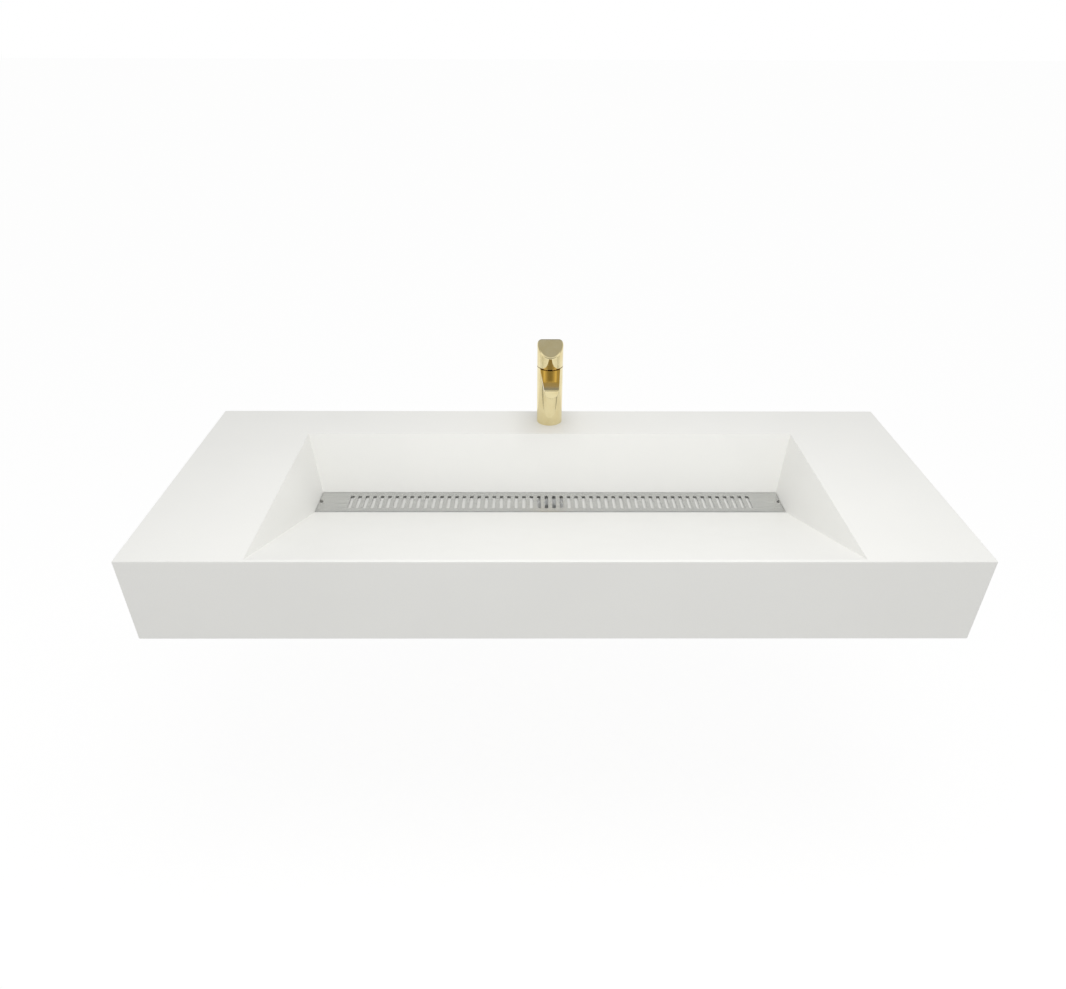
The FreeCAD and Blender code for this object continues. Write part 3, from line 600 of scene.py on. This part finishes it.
def makeBead(name, start, end, sideA, sideB, leg, ripple, swell, finish, slot):
    # a bead in the corner between two faces that leave the line from start to end along sideA and sideB
    start, end, sideA, sideB = (Vector(item) for item in (start, end, sideA, sideB))
    outward = (sideA + sideB).normalized()
    sink = outward * -beads["sunk"]
    length = (end - start).length
    count = max(beads["fewestSteps"], int(length / ripple * beads["stepsPerRipple"]))
    rings = []
    for i in range(count + 1):
        turn = 2 * math.pi * length * i / count / ripple
        slowTurn = turn / beads["slowRipple"] + beads["slowStart"]
        wave = math.sin(turn) + beads["slowShare"] * math.sin(slowTurn)
        taper = min(1, beads["endShare"] + beads["endTaper"] * min(i, count - i) / count)
        size = leg * (1 + swell * wave) * taper
        point = start.lerp(end, i / count)
        middle = outward * size * beads["bulge"]
        ring = [point + sink, point + sideA * size + sink,
                point + (sideA * size + middle) * beads["shoulder"],
                point + (sideB * size + middle) * beads["shoulder"], point + sideB * size + sink]
        rings.append([tuple(item) for item in ring])
    addPiece(name, *strip(rings), finish, slot)


bracketSteel = {"thickness": 0.006, "fold": 0.006, "corner": 0.008, "webToe": 0.040}


def makeWelds(name, side):
    low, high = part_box(name)
    steel = bracketSteel["thickness"]
    inner = (low.x + steel) if side > 0 else (high.x - steel)
    armFoot = high.z - steel
    plateFace = high.y - steel
    across = (side, 0, 0)
    weld = {"leg": beads["weldLeg"], "ripple": beads["weldRipple"], "swell": beads["weldSwell"],
            "finish": bracketCoat, "slot": "bracket_steel"}
    makeBead(name + "_arm_weld", (inner, plateFace - bracketSteel["fold"], armFoot),
             (inner, low.y + bracketSteel["webToe"], armFoot), across, (0, 0, -1), **weld)
    makeBead(name + "_plate_weld", (inner, plateFace, armFoot - bracketSteel["fold"]),
             (inner, plateFace, low.z + bracketSteel["corner"]), across, (0, -1, 0), **weld)


def makeGlueLines():
    # where the trough's strips meet the undersides of the ramp and the rear wall
    glue = {"leg": beads["glueLeg"], "ripple": beads["glueRipple"], "swell": beads["glueSwell"],
            "finish": solidSurface, "slot": "solid_surface"}
    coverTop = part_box("drain_cover")[1].z
    rampLow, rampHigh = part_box("ramp")
    rampRise = Vector((0, rampLow.y - rampHigh.y, rampHigh.z - coverTop)).normalized()
    low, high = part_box("trough_front_wall")
    makeBead("front_glue_line", (low.x, low.y, high.z), (high.x, low.y, high.z), (0, 0, -1), rampRise,
             **glue)
    wallLow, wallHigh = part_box("basin_rear_wall")
    low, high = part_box("trough_rear_wall")
    wallRise = Vector((0, beads["rearLean"], 1)).normalized()
    foot = wallHigh.y - beads["rearLean"] * (wallHigh.z - wallLow.z)
    makeBead("rear_glue_line", (low.x, foot, high.z), (high.x, foot, high.z), (0, 1, 0), wallRise, **glue)


makeBed("left_trough_bed", -1)
makeBed("right_trough_bed", 1)
for thread in threads:
    makeThread(**thread)
makeWelds("left_bracket", -1)
makeWelds("right_bracket", 1)
makeGlueLines()
print("trough beds, threads, welds and glue lines done")


# small metal parts have their sharp edges broken

brokenEdge = {
    "sharpFrom": 50,            # degrees between two faces
    "segments": 2,
    "widths": {"bracket_screws": 0.0004, "fixing_nut": 0.0004, "drain_backnut": 0.0007,
               "horseshoe_plate": 0.0003, "tailpiece": 0.0003, "left_bracket": 0.0005,
               "right_bracket": 0.0005, "cover_studs": 0.0002, "cartridge_nut": 0.0003,
               "fixing_stud": 0.0004, "lever_stem": 0.0003},
}
for name, width in brokenEdge["widths"].items():
    softEdge = nodes[name].modifiers.new("brokenEdge", "BEVEL")
    softEdge.width = width
    softEdge.segments = brokenEdge["segments"]
    softEdge.limit_method = "ANGLE"
    softEdge.angle_limit = math.radians(brokenEdge["sharpFrom"])
print("edges done")


# floor, light and camera

studio = {
    "floorBelowDeck": 0.85,
    "floorSize": 60.0,
    "floorColour": (0.94, 0.94, 0.935),
    "shadowShare": 0.25,
    "floorGlow": 0.822,         # with the lit share of the paper this comes to white
    "skyLevel": 0.69,
}
room = {                        # what polished faces see, by direction
    "level": 1.0,
    "ceiling": 0.48,
    "ceilingRange": (0.15, 0.45),
    "softbox": 1.05,            # high in front
    "softboxRange": (-0.48, -0.36),
    "front": 0.36,              # low in front
    "frontRange": (-0.9, -0.55),
    "rear": 0.25,               # and low behind
    "rearRange": (0.82, 0.91),
    "most": 1.1,
}
lamps = [
    {"name": "topSoftbox", "place": (0.06, -0.68, 1.2), "aim": (0.03, -0.56, 0.0), "size": (1.0, 0.7),
     "power": 7.8},
]
photoCamera = {
    "place": (-0.036, -1.288, 0.706),
    "pitchDown": 32.26,
    "yawRight": 0.32,
    "roll": 0.2,
    "focalShare": 767.4 / 1066,
    "sensor": 36,
    "clipEnd": 200,
}


def seenRay(tree):
    # one for rays that show the backdrop: to the camera, in gloss and through glass
    path = addNode(tree, "LightPath").outputs
    pair = calc(tree, "MAXIMUM", path["Is Camera Ray"], path["Is Glossy Ray"])
    return calc(tree, "MAXIMUM", pair, path["Is Transmission Ray"]), path["Is Glossy Ray"]


def makeFloor():
    half = studio["floorSize"] / 2
    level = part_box("rear_deck")[1].z - studio["floorBelowDeck"]
    mesh = bpy.data.meshes.new("floor")
    corners = [(-half, -half, level), (half, -half, level), (half, half, level), (-half, half, level)]
    mesh.from_pydata(corners, [], [(0, 1, 2, 3)])
    floor = bpy.data.objects.new("floor", mesh)
    scene.collection.objects.link(floor)
    finish = bpy.data.materials.new("floorPaper")
    finish.use_nodes = True
    tree = finish.node_tree
    tree.nodes.remove(tree.nodes["Principled BSDF"])
    seen, _ = seenRay(tree)
    paper = addNode(tree, "BsdfDiffuse", {"Color": (*studio["floorColour"], 1)})
    faintColour = shaded(studio["floorColour"], studio["shadowShare"])
    faint = addNode(tree, "BsdfDiffuse", {"Color": (*faintColour, 1)})
    glow = addNode(tree, "Emission", {"Strength": studio["floorGlow"]})
    white = addNode(tree, "AddShader", {0: faint.outputs[0], 1: glow.outputs[0]})
    mix = addNode(tree, "MixShader", {0: seen, 1: paper.outputs[0], 2: white.outputs[0]})
    tree.links.new(mix.outputs[0], tree.nodes["Material Output"].inputs["Surface"])
    mesh.materials.append(finish)


def makeWorld():
    world = bpy.data.worlds.new("studioRoom")
    scene.world = world
    world.use_nodes = True
    tree = world.node_tree
    tree.nodes.remove(tree.nodes["Background"])
    seen, glossy = seenRay(tree)
    direction = addNode(tree, "TexCoord").outputs["Generated"]
    way = addNode(tree, "SeparateXYZ", {"Vector": direction}).outputs
    above = spread(tree, way["Z"], room["level"], room["ceiling"], *room["ceilingRange"])
    softbox = spread(tree, way["Y"], room["softbox"], room["ceiling"], *room["softboxRange"])
    front = spread(tree, way["Y"], room["front"], room["most"], *room["frontRange"])
    rear = spread(tree, way["Y"], room["most"], room["rear"], *room["rearRange"])
    high = calc(tree, "MAXIMUM", above, softbox)
    low = calc(tree, "MINIMUM", front, rear)
    inGloss = calc(tree, "MINIMUM", high, low)
    shade = addNode(tree, "Mix", {"Factor": glossy, "A": 1.0, "B": inGloss}).outputs["Result"]
    soft = addNode(tree, "Background", {"Strength": studio["skyLevel"], "Color": (1, 1, 1, 1)})
    white = addNode(tree, "Background", {"Strength": shade, "Color": (1, 1, 1, 1)})
    mix = addNode(tree, "MixShader", {0: seen, 1: soft.outputs[0], 2: white.outputs[0]})
    tree.links.new(mix.outputs[0], tree.nodes["World Output"].inputs["Surface"])


def makeLamp(name, place, aim, size, power):
    lamp = bpy.data.lights.new(name, "AREA")
    lamp.shape = "RECTANGLE"
    lamp.size, lamp.size_y = size
    lamp.energy = power
    holder = bpy.data.objects.new(name, lamp)
    holder.location = place
    holder.rotation_euler = (Vector(aim) - Vector(place)).to_track_quat("-Z", "Y").to_euler()
    holder.visible_camera = False
    holder.visible_glossy = False        # polished faces show the room, not the lamp
    scene.collection.objects.link(holder)


def makeCamera():
    lens = bpy.data.cameras.new("photoCamera")
    lens.sensor_fit = "HORIZONTAL"
    lens.sensor_width = photoCamera["sensor"]
    lens.lens = photoCamera["sensor"] * photoCamera["focalShare"]
    lens.clip_end = photoCamera["clipEnd"]
    camera = bpy.data.objects.new("photoCamera", lens)
    turn = Matrix.Rotation(-math.radians(photoCamera["yawRight"]), 4, "Z")
    tilt = Matrix.Rotation(math.radians(90 - photoCamera["pitchDown"]), 4, "X")
    roll = Matrix.Rotation(math.radians(photoCamera["roll"]), 4, "Z")
    camera.matrix_world = Matrix.Translation(photoCamera["place"]) @ turn @ tilt @ roll
    scene.collection.objects.link(camera)
    scene.camera = camera


makeFloor()
makeWorld()
for lamp in lamps:
    makeLamp(**lamp)
makeCamera()
scene.view_settings.view_transform = "Standard"
print("studio done")
